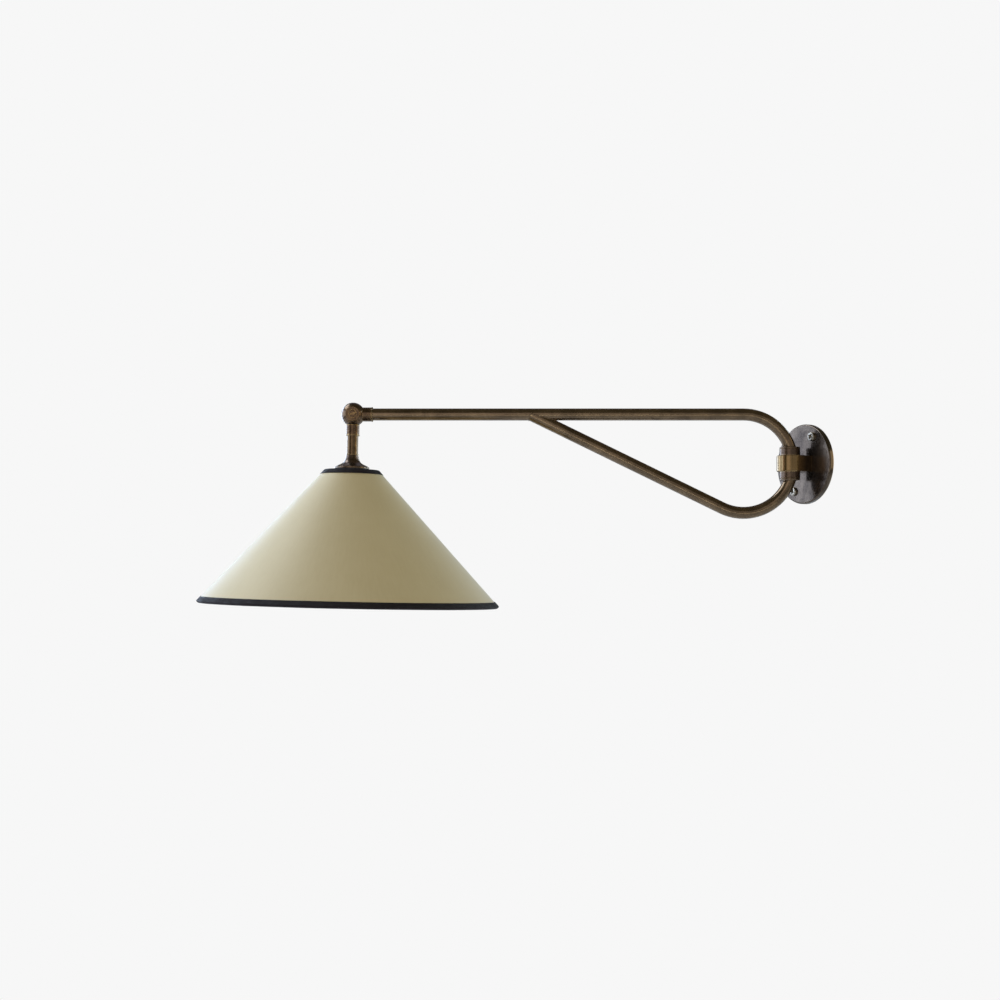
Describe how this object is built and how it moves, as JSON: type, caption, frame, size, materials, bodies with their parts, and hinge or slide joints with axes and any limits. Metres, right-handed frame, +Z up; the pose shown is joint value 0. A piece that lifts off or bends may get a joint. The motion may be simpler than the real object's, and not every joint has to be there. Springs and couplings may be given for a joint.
{
  "type": "swing arm wall sconce",
  "caption": "Wall lamp with a round plate, a looped and braced tube arm swinging on a hinge lug, and a tilting cone shade hung from a knuckle at the arm's tip.",
  "frame": {"origin": "centre of the wall plate's back, on the wall plane", "axes": "+Y into the wall, -Y out into the room, +Z up, +X to the right seen from the room"},
  "size_m": [0.4109, 0.5623, 0.2064],
  "materials": {
    "aged_brass": "dark antique patina, semi-gloss",
    "worn_brass": "antique brass rubbed brighter on its edges",
    "plated_steel": "zinc or nickel plated",
    "tinned_brass": "bright",
    "fibre": "vulcanised fibre",
    "white_steel": "white powder coat",
    "shade_paper": "pale parchment card, matte",
    "cloth_tape": "black bound tape",
    "black_plastic": "moulded",
    "ceramic": "steatite",
    "flex_sheath": "soft sheath",
    "lamp_glass": "clear or soft pearl",
    "lamp_wire": "drawn wire"
  },
  "bodies": {
    "wall": {"wall_plate": "aged_brass", "hinge_lug": "worn_brass", "earth_tag": "tinned_brass", "lug_nut": "plated_steel", "wall_screws": "plated_steel", "wall_flex": "flex_sheath", "thrust_washers": "plated_steel"},
    "arm": {"pivot_pin": "worn_brass", "upper_collar": "worn_brass", "lower_collar": "worn_brass", "collar_grub_screws": "plated_steel", "arm_tube": "aged_brass", "brace_tube": "aged_brass", "arm_ring": "worn_brass", "arm_flex": "flex_sheath", "knuckle_arm_half": "worn_brass", "knuckle_screw": "plated_steel", "knuckle_washer": "plated_steel", "knuckle_nut": "plated_steel", "friction_disc": "fibre"},
    "head": {"bottom_ring": "white_steel", "bottom_trim": "cloth_tape", "centre_contact": "tinned_brass", "gallery": "aged_brass", "head_cores": "flex_sheath", "head_flex": "flex_sheath", "holder_block": "ceramic", "holder_body": "black_plastic", "holder_cap": "black_plastic", "knuckle_stem_half": "worn_brass", "lamp_cap": "plated_steel", "lamp_filament": "lamp_wire", "lamp_glass": "lamp_glass", "lamp_insulator": "black_plastic", "lamp_leads": "lamp_wire", "lamp_mount": "lamp_glass", "lamp_tip": "tinned_brass", "neck_ring": "worn_brass", "shade_cone": "shade_paper", "shade_ring_nut": "black_plastic", "shade_spider": "white_steel", "stem_nut": "plated_steel", "stem_ring": "worn_brass", "stem_tube": "aged_brass", "terminal_screws": "plated_steel", "threaded_shell": "tinned_brass", "top_trim": "cloth_tape"}
  },
  "joints": [
    {"name": "arm_swing", "type": "hinge", "parent": "wall", "child": "arm", "pos_m": [0, -0.022, 0], "axis": [0, 0, 1], "range_deg": [-40, 100]},
    {"name": "head_tilt", "type": "hinge", "parent": "arm", "child": "head", "pos_m": [-0.2183, -0.40011, 0.0492], "axis": [-0.866, 0.5, 0], "range_deg": [-25, 90]}
  ]
}
